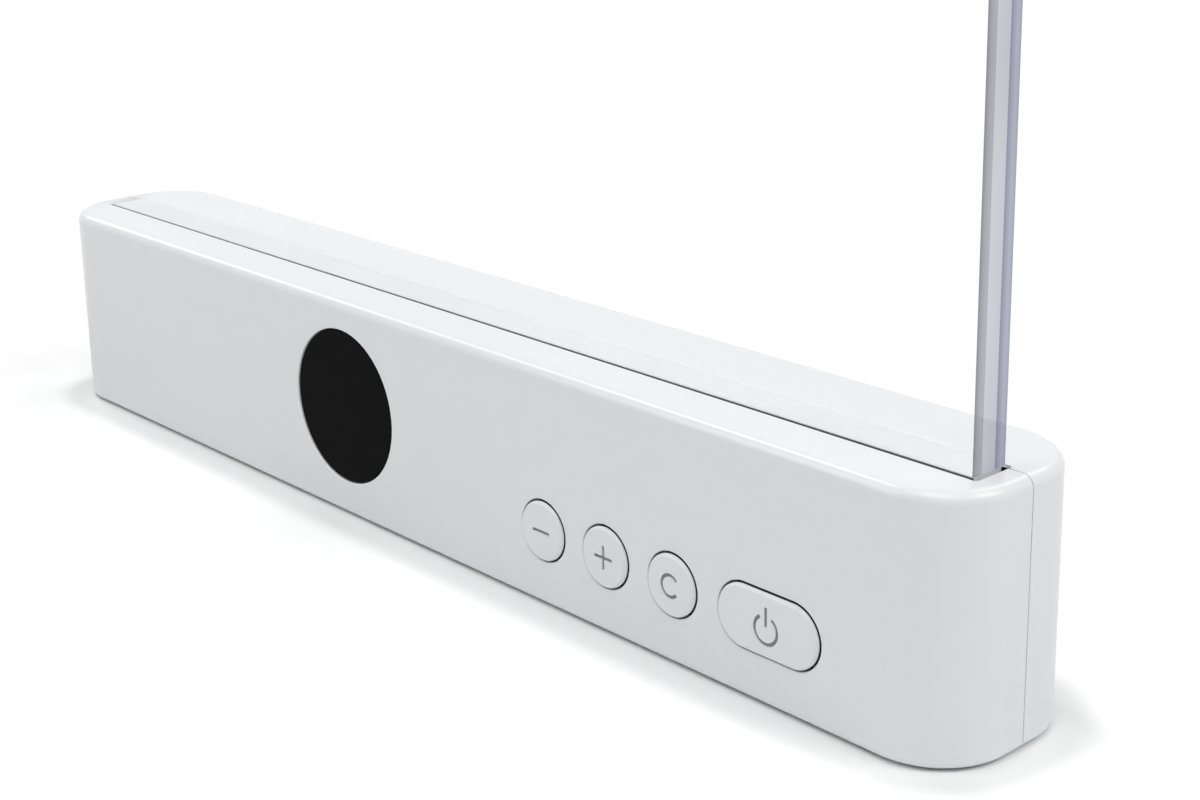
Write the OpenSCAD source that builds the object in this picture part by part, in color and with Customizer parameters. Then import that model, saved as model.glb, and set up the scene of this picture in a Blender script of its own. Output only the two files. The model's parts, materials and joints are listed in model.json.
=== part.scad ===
// Reading light: a clear upright panel, lit from its lower edge, in a slim white housing with keys.
// X runs along the housing, the front with the keys faces -Y, and Z = 0 is the surface it stands on.

/* [Housing] */
// Length of the housing
base_l = 272; // [245:1:320]
// Depth of the housing, front to back
base_d = 36; // [34:0.5:42]
// Height of the housing, feet included
base_h = 46; // [45:0.5:56]
// Radius of the upright corners
corner_r = 14; // [8:0.5:15]
// Rounding of the top edge
top_round = 2.5; // [1:0.25:3.5]
// Rounding of the bottom edge
bottom_round = 1.25; // [0.5:0.25:3]
// Thickness of the front, rear, end and bottom walls
wall = 2.2; // [1.8:0.1:2.6]
// Thickness of the top wall
top_wall = 2.6; // [2:0.1:3]
// Distance from the middle of the panel back to the seam of the two shells
seam_step = 3; // [2.5:0.1:3.5]
// Diameter of a foot
foot_d = 10; // [8:0.5:12]
// How far a foot stands out of the bottom
foot_h = 0.5; // [0.4:0.1:1.5]
// Depth of the recess that a foot is glued into
foot_seat = 0.8; // [0.4:0.1:1]
// Distance from a foot's centre to the end of the housing
foot_inset_x = 23; // [18:0.5:40]
// Distance from a foot's centre to the front or rear of the housing
foot_inset_y = 7.5; // [7:0.25:9]

/* [Panel] */
// Thickness of the clear panel
panel_t = 8; // [6:0.5:9]
// Height of the panel above the housing
panel_rise = 190; // [120:5:260]
// Distance from the panel's edge to the end of the housing
panel_inset = 6; // [5.6:0.1:7]
// Radius of the panel's upper corners
panel_corner_r = 4; // [1:0.5:12]
// Distance from the housing's front back to the middle of the panel
panel_set = 15.5; // [15:0.25:16]
// Gap between the panel and the long sides of the slot
slot_side_gap = 0.3; // [0.2:0.05:0.5]
// Gap between the panel and each end of the slot
slot_end_gap = 1.3; // [0.8:0.1:1.5]
// Radius of the slot's corners
slot_corner_r = 1; // [0.5:0.1:2]

/* [Channel] */
// Thickness of the channel's upright walls
channel_wall = 1.5; // [1:0.1:2]
// Thickness of the channel's floor
channel_floor = 1.6; // [1.2:0.1:2]
// Thickness of a grip strip
grip_t = 1.2; // [0.8:0.1:1.5]
// Height of a grip strip
grip_h = 12; // [8:0.5:14]
// Length of a seat pad
pad_l = 5; // [3:0.5:6]
// Height of a seat pad
pad_h = 3.1; // [2.8:0.1:4]
// Distance from the channel's end to its screw
channel_screw_inset = 3.7; // [3.2:0.1:4.2]
// Width of the LED board
led_board_w = 7.6; // [6:0.2:8]
// Spacing of the LED chips
led_pitch = 10; // [8:1:16]

/* [Keys] */
// Diameter of a round key's hole, and height of the power key's hole
key_d = 12; // [10:0.25:12.5]
// Gap round a key
key_gap = 0.2; // [0.1:0.05:0.3]
// How far a key stands out of the front
key_proud = 0.6; // [0.5:0.1:1]
// How far a key travels
key_travel = 0.5; // [0.3:0.05:0.5]
// Rounding of a key's rim
key_round = 0.4; // [0.2:0.05:0.5]
// Width of the flange that keeps a key in
key_flange = 0.8; // [0.6:0.1:0.9]
// Height of the keys' middle
key_z = 15; // [14.6:0.1:15]
// Spacing of the round keys
key_pitch = 16.75; // [15.5:0.05:17]
// Distance from the colour key's middle to the power key's
power_step = 22.2; // [20:0.1:23]
// Distance from the power key's middle to the end of the housing
power_inset = 37.25; // [37:0.25:40]
// Length of the power key's hole
power_l = 22.8; // [18:0.2:23]
// Width of a line in a key's mark
mark_line = 0.65; // [0.5:0.05:1]
// Length of a stroke in a key's mark
mark_l = 4.6; // [3:0.1:5]
// Depth of a key's mark
mark_depth = 0.3; // [0.2:0.05:0.4]

/* [Window] */
// Diameter of the window's hole
window_d = 32.4; // [28:0.2:33]
// Distance from the window's middle to the minus key's
window_step = 61.8; // [60:0.2:63]
// Height of the window's middle
window_z = 23.8; // [23:0.1:23.8]
// How far the window lies behind the front
window_recess = 0.2; // [0.2:0.1:1]
// Width of the flange that the window is glued by
window_flange = 1.4; // [1:0.1:1.6]

/* [Boards] */
// Thickness of a circuit board
board_t = 1.6; // [1:0.1:1.6]
// Length of the main board
main_l = 56; // [50:1:57]
// Height of the posts under the main board
post_h = 5; // [4:0.5:6]
// Side of a tact switch
switch_w = 6; // [5:0.5:6]
// Height of a tact switch's body
switch_h = 3.4; // [3:0.1:3.6]
// Width of the charging inlet
inlet_w = 8.94; // [8.9:0.01:9]
// Height of the charging inlet
inlet_h = 3.26; // [3.2:0.01:3.3]
// Length of the charging inlet
inlet_l = 7.4; // [6.5:0.1:8]

/* [Battery] */
// Gap between a battery holder and the rear wall
holder_gap = 0.7; // [0.4:0.1:0.8]
// Thickness of a holder's floor and sides
holder_wall = 1.2; // [1:0.1:1.4]
// Height of a holder's end wall
holder_h = 15; // [13:0.5:17]
// Thickness of a contact plate
contact_t = 0.5; // [0.3:0.05:0.6]
// Diameter of an insulated lead
lead_d = 1.4; // [1:0.1:1.6]

/* [Fasteners] */
// Radius of a housing or channel screw's shank
screw_r = 1.25; // [1:0.05:1.4]
// Radius of a housing or channel screw's head
screw_head_r = 2.2; // [2:0.05:2.3]
// Height of a housing or channel screw's head
screw_head_h = 1.6; // [1.2:0.1:1.8]
// Length of a housing or channel screw's shank
screw_l = 11; // [9:0.5:12]
// Radius of a board screw's shank
small_r = 0.9; // [0.7:0.05:1]
// Radius of a board screw's head
small_head_r = 1.6; // [1.4:0.05:1.7]
// Height of a board screw's head
small_head_h = 1; // [0.8:0.1:1]
// Length of a board screw's shank
small_l = 5; // [4:0.5:5.5]
// Radius of the bosses that the housing screws run in
boss_r = 3.4; // [3:0.1:3.5]
// Height of the housing screws
boss_z = 7; // [6.8:0.1:7.2]
// Distance from an end boss to the end of the housing
boss_inset = 14.8; // [14.5:0.1:15]
// Thickness of a rib
rib_t = 2; // [1.4:0.1:2.2]

/* [Hidden] */
$fn = 64;

// Clearances
fit_gap = 0.2;
run_gap = 0.05;
cut_over = 1;
embed = 0.8;

// Colours
white = "#eef0f2";
black = "#16171a";
board_green = "#1d5b3c";
steel = "#b9bdc2";

// Housing planes
front_y = -base_d / 2;
rear_y = base_d / 2;
front_in = front_y + wall;
rear_in = rear_y - wall;
floor_z = foot_h;
floor_in = floor_z + wall;
top_in = base_h - top_wall;
straight_l = base_l - 2 * corner_r;
straight_d = base_d - 2 * corner_r;

// Panel, slot and channel
panel_y = front_y + panel_set;
seam_y = panel_y + seam_step;
panel_w = base_l - 2 * panel_inset;
slot_l = panel_w + 2 * slot_end_gap;
slot_w = panel_t + 2 * slot_side_gap;
cell_clear = 0.2;
cell_d = (base_d - cell_clear) / 2;
cell_z = floor_in + holder_wall + cell_clear + cell_d / 2;
channel_clear = 0.7;
channel_z = cell_z + cell_d / 2 + channel_clear;
channel_top = top_in - fit_gap;
channel_in = panel_t + 2 * (run_gap + grip_t);
channel_out = channel_in + 2 * channel_wall;
channel_over = 0.4;
channel_l = slot_l + 2 * channel_over;
channel_front = panel_y - channel_out / 2;
channel_rear = panel_y + channel_out / 2;
channel_deck = channel_z + channel_floor;
channel_screw_x = channel_l / 2 - channel_screw_inset;
pad_x = channel_screw_x - screw_head_r - 1.5 - pad_l / 2;
panel_bottom = channel_deck + pad_h;
panel_top = base_h + panel_rise;
led_board_l = 2 * (pad_x - pad_l / 2 - 1);
led_size = [3.5, 2.8, 0.8];
led_count = floor((led_board_l - 8) / led_pitch) + 1;

// Keys, from the front backwards
key_r = key_d / 2;
flange_r = key_r + key_flange;
flange_front = front_in + 0.1;
flange_t = 1;
flange_back = flange_front + flange_t;
stem_end = flange_back + 0.8;
plunger_r = 1.75;
switch_front = stem_end + 1;
switch_back = switch_front + switch_h;
bore_depth = 1.5;
control_front = switch_back;
control_back = control_front + board_t;
power_x = base_l / 2 - power_inset;
colour_x = power_x - power_step;
minus_x = colour_x - 2 * key_pitch;
colour_gap_angle = 75;
power_gap_angle = 60;
key_x = [minus_x, minus_x + key_pitch, colour_x, power_x];
key_len = [key_d, key_d, key_d, power_l];

// Control board
control_x0 = minus_x - 5.3;
control_x1 = power_x + power_l / 2 + 0.6;
control_z0 = floor_in + 0.6;
control_z1 = channel_z - 0.5;
control_boss_r = 2.1;
control_boss_z = floor_in + 0.3 + control_boss_r;
control_boss_inset = 6;
control_boss_x = [
  control_x0 + control_boss_inset, (control_x0 + control_x1) / 2, control_x1 - control_boss_inset
];

// Window and sensor board
window_x = minus_x - window_step;
window_r = window_d / 2;
window_front = front_y + window_recess;
window_back = front_in + 1.2;
sensor_front = window_back + 2.1;
sensor_back = sensor_front + board_t;
sensor_boss_r = 2.3;
sensor_boss_dx = window_r + window_flange + sensor_boss_r + 0.6;
sensor_half_l = sensor_boss_dx + 3;
sensor_half_h = 6.5;
light_sensor_w = 3;
light_sensor_t = 1;
light_sensor_step = 4.5;

// Battery chain, from the control board towards the left end
part_gap = 0.5;
end_boss_x = base_l / 2 - boss_inset;
boss_b_x = control_x0 - part_gap - boss_r;
holder_l = (boss_b_x + end_boss_x) / 2 - 2 * boss_r - 2 * part_gap;
holder_in = holder_l - 2 * holder_wall;
cell_l = holder_in - 2 * contact_t - cell_clear;
right_holder_x = boss_b_x - boss_r - part_gap - holder_l / 2;
boss_a_x = right_holder_x - holder_l / 2 - part_gap - boss_r;
left_holder_x = boss_a_x - boss_r - part_gap - holder_l / 2;
holder_d = cell_d + 2 * holder_wall + 0.4;
cell_y = rear_in - holder_gap - holder_d / 2;
holder_side_h = 8;
holder_x = [left_holder_x, right_holder_x];

// Housing bosses and ribs
boss_x = [-end_boss_x, boss_a_x, boss_b_x, end_boss_x];
screw_seat_y = seam_y + 5;
pilot_r = screw_r + run_gap;
screw_hole_r = screw_r + 0.35;
counterbore_r = screw_head_r + 0.2;
mid_rib_x = boss_b_x + boss_r + part_gap + 0.5 + rib_t / 2;
main_x0 = mid_rib_x + rib_t / 2 + 1;
main_x1 = main_x0 + main_l;
right_rib_x = main_x1 + 1 + rib_t / 2;
deep_ribs = [-channel_screw_x, mid_rib_x, right_rib_x, channel_screw_x];
upper_ribs = holder_x;
front_ribs = [-channel_screw_x, left_holder_x, mid_rib_x, right_rib_x, channel_screw_x];
rib_toe_y = panel_y - panel_t / 2;
channel_boss_r = 2.6;
channel_boss_h = 10;

// Main board
main_z = floor_in + post_h;
main_top = main_z + board_t;
main_y0 = control_back + 1.9;
main_y1 = rear_in - part_gap;
post_r = 2.4;
post_inset = 3.5;
post_x = [main_x0 + post_inset, main_x1 - post_inset];
post_y = [seam_y + post_inset, main_y1 - post_inset];
inlet_x = (main_x0 + main_x1) / 2;
inlet_z = main_top + inlet_h / 2;
inlet_back = rear_y - 0.5;
inlet_front = inlet_back - inlet_l;
inlet_wall = 0.3;
inlet_gap = 0.3;
tongue_w = 6.6;
tongue_t = 0.7;
tongue_set = 1;
header_l = 12;
header_rear = main_y0 + 3;
header_h = 2.5;
coil_w = 7;
coil_h = 4;
coil_r = 1.5;
coil_y = main_y0 + coil_w / 2 + 2;
capacitor_r = 3;
capacitor_h = 9;
capacitor_pitch = 7;
capacitor_inset = 5.8;
chip_l = 5;
chip_d = 4;
chip_h = 1.5;
left_part_x = (main_x0 + inlet_x) / 2;
right_part_x = (main_x1 + inlet_x) / 2;

// Leads
lead_r = lead_d / 2;
lead_z = floor_in + holder_h - 3;
lead_bend = 2;
lead_inset = 7;
lead_drop_x = main_x0 + lead_inset;
lead_spread = 1.5;
led_lead_x = main_x1 - lead_inset;
sensor_lead_r = 0.4;
sensor_lead_pitch = 0.9;
sensor_plug_h = 3.1;
sensor_plug_z = key_z + switch_w / 2 + 0.15 + sensor_plug_h / 2;
sensor_lead_y = (flange_back + key_travel + sensor_front) / 2 + 0.2;
sensor_plug_x1 = window_x + sensor_half_l + 0.5;
sensor_plug_l = 4.5;
control_plug_x0 = control_x0 + 0.4;
control_plug_l = 4;

// Flat rectangle with round corners, centred
module rounded_rect(l, d, r) {
  square([l - 2 * r, d], center = true);
  square([l, d - 2 * r], center = true);
  for (sx = [-1, 1], sy = [-1, 1])
    translate([sx * (l / 2 - r), sy * (d / 2 - r)])
      circle(r);
}

// Flat outline of a key: a circle, or a long round-ended shape along X
module key_outline(len, d) {
  if (len > d) {
    square([len - d, d], center = true);
    for (side = [-1, 1])
      translate([side * (len - d) / 2, 0])
        circle(d = d);
  } else {
    circle(d = d);
  }
}

// Turns a flat outline drawn in X and Z into a solid between two planes along Y
module along_y(y0, y1) {
  translate([0, y1, 0])
    rotate([90, 0, 0])
      linear_extrude(y1 - y0)
        children();
}

// Round bar between two planes along Y
module bar_y(x, z, r, y0, y1) {
  translate([x, y1, z])
    rotate([90, 0, 0])
      cylinder(r = r, h = y1 - y0);
}

// Half outline of the housing from its middle to one side, rounded above and below
module side_profile(half) {
  translate([0, floor_z + bottom_round])
    square([half, base_h - top_round - floor_z - bottom_round]);
  translate([0, floor_z])
    square([half - bottom_round, bottom_round]);
  translate([half - bottom_round, floor_z + bottom_round])
    circle(bottom_round);
  translate([0, base_h - top_round])
    square([half - top_round, top_round]);
  translate([half - top_round, base_h - top_round])
    circle(top_round);
}

// Outside of the housing: a straight middle, two end slabs and four turned corners
module casing() {
  rotate([90, 0, 90])
    linear_extrude(straight_l, center = true) {
      side_profile(base_d / 2);
      mirror([1, 0])
        side_profile(base_d / 2);
    }
  for (end = [0, 1])
    mirror([end, 0, 0])
      translate([straight_l / 2, 0, 0]) {
        rotate([90, 0, 0])
          linear_extrude(straight_d, center = true)
            side_profile(corner_r);
        for (side = [0, 1])
          mirror([0, side, 0])
            translate([0, straight_d / 2, 0])
              rotate_extrude(angle = 90)
                side_profile(corner_r);
      }
}

// Inside of the housing
module cavity() {
  translate([0, 0, floor_in])
    linear_extrude(top_in - floor_in)
      rounded_rect(base_l - 2 * wall, base_d - 2 * wall, corner_r - wall);
}

// Everything on one side of the seam: side -1 is the front, 1 is the rear
module half_space(side) {
  depth = base_d;
  translate([-base_l, side > 0 ? seam_y : seam_y - depth, -base_h])
    cube([2 * base_l, depth, 3 * base_h]);
}

// Hollow half of the housing
module half_casing(side) {
  difference() {
    intersection() {
      casing();
      half_space(side);
    }
    cavity();
  }
}

// The slot that the panel stands in
module slot_cut() {
  translate([0, panel_y, top_in - cut_over])
    linear_extrude(top_wall + 2 * cut_over)
      rounded_rect(slot_l, slot_w, slot_corner_r);
}

// Recesses for the two feet on one side
module foot_recesses(side) {
  for (end = [-1, 1])
    translate([end * (base_l / 2 - foot_inset_x), side * (base_d / 2 - foot_inset_y), floor_z - cut_over])
      cylinder(d = foot_d + 2 * run_gap, h = cut_over + foot_seat);
}

// Upright rib behind the channel, with a shelf under it where it reaches the floor
module rear_rib(x, deep) {
  reach = abs(x) > straight_l / 2 ? rear_in - 1.2 : rear_in + embed;
  translate([x - rib_t / 2, 0, 0])
    rotate([90, 0, 90])
      linear_extrude(rib_t) {
        translate([channel_rear, channel_z])
          square([reach - channel_rear, top_in + embed - channel_z]);
        if (deep) {
          translate([seam_y + fit_gap, floor_in - embed])
            square([reach - seam_y - fit_gap, channel_z - floor_in + embed]);
          translate([rib_toe_y, floor_in + fit_gap])
            square([seam_y + 2 * fit_gap - rib_toe_y, channel_z - floor_in - fit_gap]);
        }
      }
}

// Upright rib between the front wall and the channel
module front_rib(x) {
  reach = abs(x) > straight_l / 2 ? front_in + 1.2 : front_in - embed;
  translate([x - rib_t / 2, reach, channel_z + 1])
    cube([rib_t, channel_front - reach, top_in + embed - channel_z - 1]);
}

// Front wall, front half of the top, floor and ends
module front_shell() {
  color(white)
    difference() {
      union() {
        half_casing(-1);
        for (x = front_ribs)
          front_rib(x);
        for (x = boss_x)
          bar_y(x, boss_z, boss_r, front_in - embed, seam_y - run_gap);
        for (x = control_boss_x)
          bar_y(x, control_boss_z, control_boss_r, front_in - embed, control_front);
        for (side = [-1, 1])
          bar_y(window_x + side * sensor_boss_dx, window_z, sensor_boss_r, front_in - embed, sensor_front);
      }
      slot_cut();
      foot_recesses(-1);
      along_y(front_y - cut_over, front_in + cut_over)
        for (i = [0 : 3])
          translate([key_x[i], key_z])
            key_outline(key_len[i], key_d);
      bar_y(window_x, window_z, window_r, front_y - cut_over, front_in + cut_over);
      for (x = boss_x)
        bar_y(x, boss_z, pilot_r, screw_seat_y - screw_l - 1, seam_y + cut_over);
      for (x = control_boss_x)
        bar_y(x, control_boss_z, small_r + run_gap, control_back - small_l - 0.5, control_front + cut_over);
      for (side = [-1, 1])
        bar_y(window_x + side * sensor_boss_dx, window_z, small_r + run_gap,
              sensor_back - small_l - 0.5, sensor_front + cut_over);
    }
}

// Rear wall, rear half of the top, floor and ends, with the charging inlet's opening
module rear_shell() {
  color(white)
    difference() {
      union() {
        half_casing(1);
        for (x = deep_ribs)
          rear_rib(x, true);
        for (x = upper_ribs)
          rear_rib(x, false);
        for (x = boss_x)
          bar_y(x, boss_z, boss_r, seam_y + run_gap, rear_in + embed);
        for (end = [-1, 1])
          translate([end * channel_screw_x, panel_y, channel_z - channel_boss_h])
            cylinder(r = channel_boss_r, h = channel_boss_h);
        for (x = post_x, y = post_y)
          translate([x, y, floor_in - embed])
            cylinder(r = post_r, h = main_z - floor_in + embed);
      }
      slot_cut();
      foot_recesses(1);
      for (x = boss_x) {
        bar_y(x, boss_z, screw_hole_r, seam_y - cut_over, screw_seat_y + cut_over);
        bar_y(x, boss_z, counterbore_r, screw_seat_y, rear_y + cut_over);
      }
      for (end = [-1, 1])
        translate([end * channel_screw_x, panel_y, channel_deck - screw_l - 0.5])
          cylinder(r = pilot_r, h = screw_l + cut_over);
      for (x = post_x, y = post_y)
        translate([x, y, main_top - small_l - 0.5])
          cylinder(r = small_r + run_gap, h = small_l + cut_over);
      along_y(rear_in - cut_over, rear_y + cut_over)
        translate([inlet_x, inlet_z])
          key_outline(inlet_w + 2 * inlet_gap, inlet_h + 2 * inlet_gap);
      rotate([90, 0, 90])
        translate([0, 0, mid_rib_x - rib_t])
          linear_extrude(2 * rib_t)
            for (side = [-1, 1])
              translate([cell_y + side * lead_spread, lead_z])
                circle(lead_r + fit_gap);
    }
}

// Screws that draw the shells together from behind
module housing_screws() {
  color(steel)
    for (x = boss_x)
      difference() {
        union() {
          bar_y(x, boss_z, screw_r, screw_seat_y - screw_l, screw_seat_y + screw_head_h / 2);
          bar_y(x, boss_z, screw_head_r, screw_seat_y, screw_seat_y + screw_head_h);
        }
        for (turn = [0, 90])
          translate([x, screw_seat_y + screw_head_h, boss_z])
            rotate([0, turn, 0])
              cube([screw_head_r * 1.3, screw_head_h, screw_r / 2], center = true);
      }
}

// Soft feet glued into the bottom
module rubber_feet() {
  color(black)
    for (end = [-1, 1], side = [-1, 1])
      translate([end * (base_l / 2 - foot_inset_x), side * (base_d / 2 - foot_inset_y), 0])
        cylinder(d = foot_d, h = foot_h + foot_seat);
}

// Clear sheet with round upper corners
module light_panel() {
  color([0.82, 0.86, 0.92, 0.35])
    along_y(panel_y - panel_t / 2, panel_y + panel_t / 2) {
      translate([-panel_w / 2, panel_bottom])
        square([panel_w, panel_top - panel_corner_r - panel_bottom]);
      translate([-panel_w / 2 + panel_corner_r, panel_top - panel_corner_r])
        square([panel_w - 2 * panel_corner_r, panel_corner_r]);
      for (side = [-1, 1])
        translate([side * (panel_w / 2 - panel_corner_r), panel_top - panel_corner_r])
          circle(panel_corner_r);
    }
}

// Aluminium channel under the slot
module panel_channel() {
  color("#3a3d42")
    difference() {
      translate([-channel_l / 2, channel_front, channel_z])
        cube([channel_l, channel_out, channel_top - channel_z]);
      translate([-channel_l / 2 - cut_over, panel_y - channel_in / 2, channel_deck])
        cube([channel_l + 2 * cut_over, channel_in, channel_top]);
      for (end = [-1, 1])
        translate([end * channel_screw_x, panel_y, channel_z - cut_over])
          cylinder(r = screw_hole_r, h = channel_floor + 2 * cut_over);
      for (side = [-1, 1])
        translate([led_lead_x + side * lead_spread, panel_y, channel_z - cut_over])
          cylinder(r = lead_r + fit_gap, h = channel_floor + 2 * cut_over);
    }
}

// Soft strip that holds the panel: side -1 is the front, 1 is the rear
module grip_strip(side) {
  color(black)
    translate([-channel_l / 2, panel_y + side * (channel_in - grip_t) / 2 - grip_t / 2, channel_top - grip_h])
      cube([channel_l, grip_t, grip_h]);
}

module grip_strip_front() {
  grip_strip(-1);
}

module grip_strip_rear() {
  grip_strip(1);
}

// Soft blocks that the panel's lower edge stands on
module seat_pads() {
  color(black)
    for (end = [-1, 1])
      translate([end * pad_x - pad_l / 2, panel_y - panel_t / 2, channel_deck])
        cube([pad_l, panel_t, pad_h]);
}

// Screws that hold the channel down on the end ribs
module channel_screws() {
  color(steel)
    for (end = [-1, 1])
      translate([end * channel_screw_x, panel_y, channel_deck]) {
        translate([0, 0, -screw_l])
          cylinder(r = screw_r, h = screw_l + screw_head_h / 2);
        cylinder(r = screw_head_r, h = screw_head_h);
      }
}

// Strip board along the channel's floor
module led_board() {
  color("#e9e9e4")
    translate([-led_board_l / 2, panel_y - led_board_w / 2, channel_deck])
      cube([led_board_l, led_board_w, board_t]);
}

// Row of LED chips that shine up into the panel's lower edge
module led_chips() {
  color("#f3e27a")
    for (i = [0 : led_count - 1])
      translate([(i - (led_count - 1) / 2) * led_pitch, panel_y, channel_deck + board_t + led_size[2] / 2])
        cube(led_size, center = true);
}

// Black window, glued behind the front wall by its flange
module sensor_window() {
  color(black) {
    bar_y(window_x, window_z, window_r - fit_gap, window_front, front_in + 0.2);
    bar_y(window_x, window_z, window_r + window_flange, front_in, window_back);
  }
}

// Board behind the window
module sensor_board() {
  color(board_green)
    difference() {
      translate([window_x - sensor_half_l, sensor_front, window_z - sensor_half_h])
        cube([2 * sensor_half_l, board_t, 2 * sensor_half_h]);
      for (side = [-1, 1])
        bar_y(window_x + side * sensor_boss_dx, window_z, small_r + fit_gap,
              sensor_front - cut_over, sensor_back + cut_over);
    }
}

// Chip that measures the light in the room
module light_sensor() {
  color("#c9ccd0")
    translate([window_x - light_sensor_step - light_sensor_w / 2, sensor_front - light_sensor_t,
               window_z - light_sensor_w / 2])
      cube([light_sensor_w, light_sensor_t, light_sensor_w]);
}

// Receiver for a remote control
module remote_receiver() {
  color(black)
    translate([window_x + 2, sensor_front - 1.6, window_z - 2.5])
      cube([5, 1.6, 5]);
}

// Key with a rounded rim, a flange behind the wall and a stem, without its mark
module blank_key(i) {
  cap_d = key_d - 2 * key_gap;
  cap_l = key_len[i] - 2 * key_gap;
  cap_front = front_y - key_proud;
  translate([key_x[i], 0, key_z]) {
    along_y(cap_front + key_round, flange_front + 0.2)
      key_outline(cap_l, cap_d);
    along_y(cap_front, cap_front + 2 * key_round)
      key_outline(cap_l - 2 * key_round, cap_d - 2 * key_round);
    for (side = cap_l > cap_d ? [-1, 1] : [0])
      translate([side * (cap_l - cap_d) / 2, cap_front + key_round, 0])
        rotate([90, 0, 0])
          rotate_extrude()
            translate([cap_d / 2 - key_round, 0])
              circle(key_round, $fn = 24);
    if (cap_l > cap_d)
      for (side = [-1, 1])
        translate([0, cap_front + key_round, side * (cap_d / 2 - key_round)])
          rotate([0, 90, 0])
            cylinder(r = key_round, h = cap_l - cap_d, center = true);
    along_y(flange_front, flange_back)
      key_outline(key_len[i] + 2 * key_flange, 2 * flange_r);
  }
  bar_y(key_x[i], key_z, plunger_r, flange_back - 0.2, stem_end);
}

// Key with a mark, drawn by the child outline, sunk into its front
module marked_key(i) {
  difference() {
    blank_key(i);
    translate([key_x[i], 0, key_z])
      along_y(front_y - key_proud - cut_over, front_y - key_proud + mark_depth)
        children();
  }
}

// Ring with a gap of the given angle, whose middle points at the given direction
module open_ring(r, gap, direction) {
  reach = 2 * r;
  difference() {
    circle(r + mark_line / 2);
    circle(r - mark_line / 2);
    rotate(direction)
      polygon([[0, 0], [reach, -reach * tan(gap / 2)], [reach, reach * tan(gap / 2)]]);
  }
}

module minus_key() {
  color(white)
    marked_key(0)
      square([mark_l, mark_line], center = true);
}

module plus_key() {
  color(white)
    marked_key(1) {
      square([mark_l, mark_line], center = true);
      square([mark_line, mark_l], center = true);
    }
}

module colour_key() {
  color(white)
    marked_key(2)
      open_ring(mark_l / 2 - mark_line / 2, colour_gap_angle, 0);
}

module power_key() {
  color(white)
    marked_key(3) {
      translate([0, -mark_line])
        open_ring(mark_l * 0.54, power_gap_angle, 90);
      translate([0, mark_l * 0.35])
        square([mark_line, mark_l * 0.75], center = true);
    }
}

// Small pin that a key's stem pushes into its switch
module plunger(i) {
  color(black)
    bar_y(key_x[i], key_z, plunger_r, stem_end, switch_front + bore_depth - key_travel - fit_gap);
}

module minus_plunger() {
  plunger(0);
}

module plus_plunger() {
  plunger(1);
}

module colour_plunger() {
  plunger(2);
}

module power_plunger() {
  plunger(3);
}

// Board behind the keys
module control_board() {
  color(board_green)
    difference() {
      translate([control_x0, control_front, control_z0])
        cube([control_x1 - control_x0, board_t, control_z1 - control_z0]);
      for (x = control_boss_x)
        bar_y(x, control_boss_z, small_r + fit_gap, control_front - cut_over, control_back + cut_over);
    }
}

// One switch behind each key
module tact_switches() {
  color("#2a2b2e")
    for (x = key_x)
      difference() {
        translate([x - switch_w / 2, switch_front, key_z - switch_w / 2])
          cube([switch_w, switch_h, switch_w]);
        bar_y(x, key_z, plunger_r + run_gap, switch_front - cut_over, switch_front + bore_depth);
      }
}

// Board screw along Y, with its head to the rear
module board_screw_y(x, z, seat_y) {
  bar_y(x, z, small_r, seat_y - small_l, seat_y + small_head_h / 2);
  bar_y(x, z, small_head_r, seat_y, seat_y + small_head_h);
}

// Screws of the three boards
module board_screws() {
  color(steel) {
    for (x = control_boss_x)
      board_screw_y(x, control_boss_z, control_back);
    for (side = [-1, 1])
      board_screw_y(window_x + side * sensor_boss_dx, window_z, sensor_back);
    for (x = post_x, y = post_y)
      translate([x, y, main_top]) {
        translate([0, 0, -small_l])
          cylinder(r = small_r, h = small_l + small_head_h / 2);
        cylinder(r = small_head_r, h = small_head_h);
      }
  }
}

// Board with the charging and LED electronics
module main_board() {
  color(board_green)
    difference() {
      translate([main_x0, main_y0, main_z])
        cube([main_l, main_y1 - main_y0, board_t]);
      for (x = post_x, y = post_y)
        translate([x, y, main_z - cut_over])
          cylinder(r = small_r + fit_gap, h = board_t + 2 * cut_over);
    }
}

// Pin header from the main board to the control board
module board_header() {
  color(black)
    translate([inlet_x - header_l / 2, control_back, main_top])
      cube([header_l, header_rear - control_back, header_h]);
}

// Metal shell of the charging inlet
module charging_inlet() {
  color(steel)
    translate([inlet_x, 0, inlet_z])
      difference() {
        along_y(inlet_front, inlet_back)
          key_outline(inlet_w, inlet_h);
        along_y(inlet_front + inlet_wall, inlet_back + cut_over)
          key_outline(inlet_w - 2 * inlet_wall, inlet_h - 2 * inlet_wall);
      }
}

// Contact tongue inside the charging inlet
module inlet_tongue() {
  color(black)
    translate([inlet_x - tongue_w / 2, inlet_front + inlet_wall, inlet_z - tongue_t / 2])
      cube([tongue_w, inlet_l - tongue_set, tongue_t]);
}

// Choke coil of the LED driver
module coil() {
  color("#4a4c50")
    translate([left_part_x, coil_y, main_top])
      linear_extrude(coil_h)
        rounded_rect(coil_w, coil_w, coil_r);
}

// Round capacitors of the LED driver
module capacitors() {
  color("#2d3238")
    for (i = [0 : 1])
      translate([right_part_x, main_y1 - capacitor_inset - capacitor_pitch * i, main_top])
        cylinder(r = capacitor_r, h = capacitor_h);
}

// Flat chips of the charger and the LED driver
module driver_chips() {
  places = [
    [left_part_x, coil_y + coil_w / 2 + 1],
    [inlet_x, (header_rear + inlet_front - chip_d) / 2]
  ];
  color(black)
    for (place = places)
      translate([place[0] - chip_l / 2, place[1], main_top])
        cube([chip_l, chip_d, chip_h]);
}

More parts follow.
